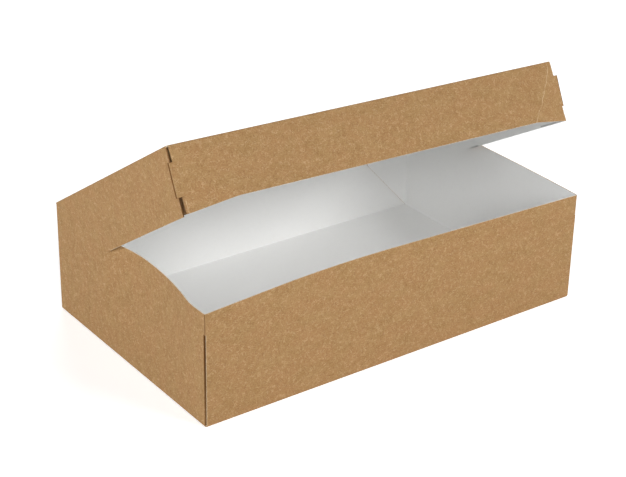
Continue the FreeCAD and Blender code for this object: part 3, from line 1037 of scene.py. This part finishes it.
# short fibres that stand out along cut edges and the broken crease
def makeFibreTree():
    tree, given, out = newGroup(
        "looseFibres",
        "GeometryNodeTree",
        [
            ("Geometry", "Geometry"),
            ("Spacing", 0.001),
            ("Length", 0.0005),
            ("Thickness", 0.00003),
            ("Spread", 0.8),
            ("Share", 0.6),
            ("Seed", 1),
            ("Blank Span", 0.5),
            ("Blank Shift", "Vector"),
            ("Material", "Material"),
        ],
        [("Geometry", "Geometry")],
    )

    def randomValue(low, high, step, kind="FLOAT"):
        low0, high0, out0 = (0, 1, 0) if kind == "FLOAT_VECTOR" else (2, 3, 1)
        seed = maths(tree, "ADD", given["Seed"], step)
        inputs = {low0: low, high0: high, "Seed": seed}
        return newNode(tree, "FunctionNodeRandomValue", inputs, data_type=kind).outputs[out0]

    path = newNode(tree, "GeometryNodeMeshToCurve", {0: given["Geometry"]})
    apart = {"Curve": path, "Length": given["Spacing"]}
    spots = newNode(tree, "GeometryNodeCurveToPoints", apart, mode="LENGTH")
    reach = maths(tree, "MULTIPLY", randomValue(-0.5, 0.5, 3), given["Spacing"])
    moved = newNode(tree, "GeometryNodeSetPosition", {
        "Geometry": spots,
        "Offset": scaledVector(tree, spots.outputs["Tangent"], reach),
    })
    cone = {"Vertices": 4, "Side Segments": 1, "Radius Top": 0.3, "Radius Bottom": 1.0, "Depth": 1.0}
    fibre = newNode(tree, "GeometryNodeMeshCone", cone, fill_type="NGON")
    grow = newNode(tree, "GeometryNodeInputNamedAttribute", {"Name": "grow"}, data_type="FLOAT_VECTOR")
    stray = randomValue((-1, -1, -1), (1, 1, 1), 5, "FLOAT_VECTOR")
    strayed = scaledVector(tree, stray, given["Spread"])
    lean = newNode(tree, "ShaderNodeVectorMath", {0: grow, 1: strayed})
    turned = newNode(tree, "FunctionNodeAlignRotationToVector", {"Vector": lean}, axis="Z")
    thick, long = given["Thickness"], given["Length"]
    size = newNode(tree, "ShaderNodeCombineXYZ", {"X": thick, "Y": thick, "Z": long})
    placed = newNode(tree, "GeometryNodeInstanceOnPoints", {
        "Points": moved,
        "Selection": maths(tree, "LESS_THAN", randomValue(0.0, 1.0, 7), given["Share"]),
        "Instance": fibre,
        "Rotation": turned,
        "Scale": scaledVector(tree, size, randomValue(0.5, 1.3, 9)),
    })
    plain = newNode(tree, "GeometryNodeRealizeInstances", {0: placed})
    storeBlank(tree, given, plain, out)
    return tree


fibres = {
    "Spacing": 1.1 * mm,
    "Length": 0.42 * mm,
    "Thickness": 0.045 * mm,
    "Spread": 0.9,
    "Share": 0.5,
    "Blank Span": sheet["blankSpan"],
    "Blank Shift": blankShift,
    "Material": cutEdge,
}
fibreLines = {
    "step": 4 * mm,
    "creaseStep": 1.2 * mm,
    "out": 0.02 * mm,  # from the wall's face
    "down": 0.06 * mm,  # from the rim
    "ends": 3 * mm,  # the tray's lines stop this far from its corners
    "lidEnds": 2 * mm,
    "flangeStart": 14 * mm,  # past the end of the left flange's slant
    "rise": 0.1,  # the tray's fibres point up by this
    "slitSide": -0.6,  # the slit's point to the left
    "footOut": 0.25,  # the flap's point out by this as well as down
    "flangeOut": 0.3,
    "creaseEnd": 1 * mm,
}
fibreTree = makeFibreTree()


# each line is a list of (point, direction the fibres grow in)
def buildFibres(name, lines, seed):
    nodes = [node for line in lines for node in line]
    edges = []
    start = 0
    for line in lines:
        edges += [(start + i, start + i + 1) for i in range(len(line) - 1)]
        start += len(line)
    piece = emptyPiece(name, [point for point, _ in nodes], edges)
    grow = piece.data.attributes.new("grow", "FLOAT_VECTOR", "POINT")
    for item, (_, direction) in zip(grow.data, nodes):
        item.vector = direction
    return workIn(piece, fibreTree, dict(fibres, Seed=seed))


def trayFibreLines():
    top = tray["height"] - fibreLines["down"]
    half = tray["rear"] - fibreLines["ends"]
    side = tray["right"] - fibreLines["ends"]
    slit = tray["left"] + tray["slit"][0]
    out, step, rise = (fibreLines[k] for k in ("out", "step", "rise"))
    return [
        [(frontWall(x, top, out), Vector((0, -1, rise))) for x in stops(-side, side, step)],
        [(leftWall(y, top, out), Vector((-1, 0, rise))) for y in stops(-half, tray["covered"], step)],
        [(rightWall(y, top, out), Vector((1, 0, rise))) for y in stops(-half, -half / 3, step)],
        [
            (Vector((slit, tray["front"] + out, z)), Vector((fibreLines["slitSide"], -1, 0)))
            for z in stops(fibreLines["lidEnds"], tray["slitHeight"], step)
        ],
    ]


def lidFibreLines():
    outward = (lidPoint(0, 0, 0, 1) - lidPoint(0, 0, 0, 0)).normalized()
    down = (lidPoint(0, 0, 1) - lidPoint(0, 0, 0)).normalized()
    step, ends, short = (fibreLines[k] for k in ("step", "lidEnds", "down"))
    foot = []
    for x in stops(flapLeft + ends, flapRight - lid["flapEnd"], step):
        drop = flapDrop(x) - short
        place = lidPoint(x, lid["depth"], drop, flare(x, drop, lid["flapEnd"]))
        foot.append((place, outward * fibreLines["footOut"] + down))
    broken = []
    for drop in stops(ends, lid["middleDrop"] - fibreLines["creaseEnd"], fibreLines["creaseStep"]):
        offset = creaseOffset((drop, 0.0))
        x = flapRight - offset
        broken.append((lidPoint(x, lid["depth"], drop, flare(x, drop, offset)), outward))
    flange = []
    away = down - Vector((fibreLines["flangeOut"], 0, 0))
    start = lid["slope"][-1] + fibreLines["flangeStart"]
    for reach in stops(start, lid["depth"] - lid["setback"][-1] - ends, step):
        flange.append((lidPoint(lid["flangeLeft"], reach, flangeDrop(-1, reach) - short), away))
    return [foot, broken, flange]


trayFibres = buildFibres("tray_fibres", trayFibreLines(), 4)
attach(trayFibres, "tray")
lidFibres = buildFibres("lid_fibres", lidFibreLines(), 11)
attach(lidFibres, "lid")
print("fibres ready", len(trayFibres.data.polygons), len(lidFibres.data.polygons))

studio = {
    "worldStrength": 0.09,
    "lamps": {  # power and place
        "key": (19.0, (-1.08, -1.49, 1.07)),
        "right": (24.7, (0.91, -1.58, 1.10)),
        "side": (25.0, (-2.06, 0.36, 0.27)),
        "back": (19.0, (0.95, 1.70, 0.85)),
    },
    "lampSize": 1.0,
    "floorSize": 6.0,
    "floorGlow": 0.55,
    "floorColour": (0.9, 0.9, 0.9, 1),
    "floorRoughness": 0.9,
    "floorDrop": 0.0002,  # just under the tray, so that the two don't share a plane
    "lampAim": (0, 0, 0.05),
    "white": (1, 1, 1, 1),
}
camera = {
    "place": (-0.4633, -0.6236, 0.4216),
    "azimuth": 36.377,
    "elevation": 26.313,
    "roll": 1.1385,
    "lens": 95.77,
    "sensor": 36.0,
    "clip": (0.01, 20.0),
}


# one where the camera, a reflection or a view through glass looks, and nought for the light itself
def lookedAt(tree):
    rays = tree.nodes.new("ShaderNodeLightPath")
    seen = maths(tree, "MAXIMUM", rays.outputs["Is Camera Ray"], rays.outputs["Is Glossy Ray"])
    return maths(tree, "MAXIMUM", seen, rays.outputs["Is Transmission Ray"])


def makeFloor():
    half = studio["floorSize"] / 2
    mesh = bpy.data.meshes.new("floor")
    corners = [(-half, -half, 0), (half, -half, 0), (half, half, 0), (-half, half, 0)]
    mesh.from_pydata(corners, [], [(0, 1, 2, 3)])
    floor = newObject("floor", mesh)
    material = bpy.data.materials.new("paleFloor")
    material.use_nodes = True
    tree = material.node_tree
    shader = tree.nodes["Principled BSDF"]
    shader.inputs["Base Color"].default_value = studio["floorColour"]
    shader.inputs["Roughness"].default_value = studio["floorRoughness"]
    shader.inputs["Specular IOR Level"].default_value = 0.0
    glow = newNode(tree, "ShaderNodeEmission", {
        "Color": studio["white"],
        "Strength": maths(tree, "MULTIPLY", lookedAt(tree), studio["floorGlow"]),
    })
    both = newNode(tree, "ShaderNodeAddShader", {0: shader, 1: glow})
    feed(tree, tree.nodes["Material Output"].inputs["Surface"], both)
    mesh.materials.append(material)
    floor.location.z = -studio["floorDrop"]


def makeWorld():
    world = bpy.data.worlds.new("studio")
    bpy.context.scene.world = world
    world.use_nodes = True
    tree = world.node_tree
    lit = tree.nodes["Background"]
    seen = tree.nodes.new("ShaderNodeBackground")
    for shader, strength in ((lit, studio["worldStrength"]), (seen, 1.0)):
        shader.inputs["Color"].default_value = studio["white"]
        shader.inputs["Strength"].default_value = strength
    mix = {0: lookedAt(tree), 1: lit, 2: seen}
    surface = newNode(tree, "ShaderNodeMixShader", mix)
    feed(tree, tree.nodes["World Output"].inputs["Surface"], surface)


def makeLamp(name, power, place):
    data = bpy.data.lights.new(name, "AREA")
    data.energy = power
    data.shape = "DISK"
    data.size = studio["lampSize"]
    lamp = newObject(name, data)
    lamp.location = place
    lamp.rotation_mode = "QUATERNION"
    lamp.rotation_quaternion = (Vector(studio["lampAim"]) - Vector(place)).to_track_quat("-Z", "Y")


def makeCamera():
    data = bpy.data.cameras.new("camera")
    data.lens = camera["lens"]
    data.sensor_width = camera["sensor"]
    data.clip_start, data.clip_end = camera["clip"]
    body = newObject("camera", data)
    azimuth = math.radians(camera["azimuth"])
    elevation = math.radians(camera["elevation"])
    ahead = Vector((
        math.sin(azimuth) * math.cos(elevation),
        math.cos(azimuth) * math.cos(elevation),
        -math.sin(elevation),
    ))
    body.location = camera["place"]
    body.rotation_mode = "QUATERNION"
    roll = Quaternion(ahead, -math.radians(camera["roll"]))
    body.rotation_quaternion = roll @ ahead.to_track_quat("-Z", "Y")
    bpy.context.scene.camera = body


makeFloor()
makeWorld()
for name, (power, place) in studio["lamps"].items():
    makeLamp(name, power, place)
makeCamera()
bpy.context.scene.view_settings.view_transform = "Standard"
print("studio ready")
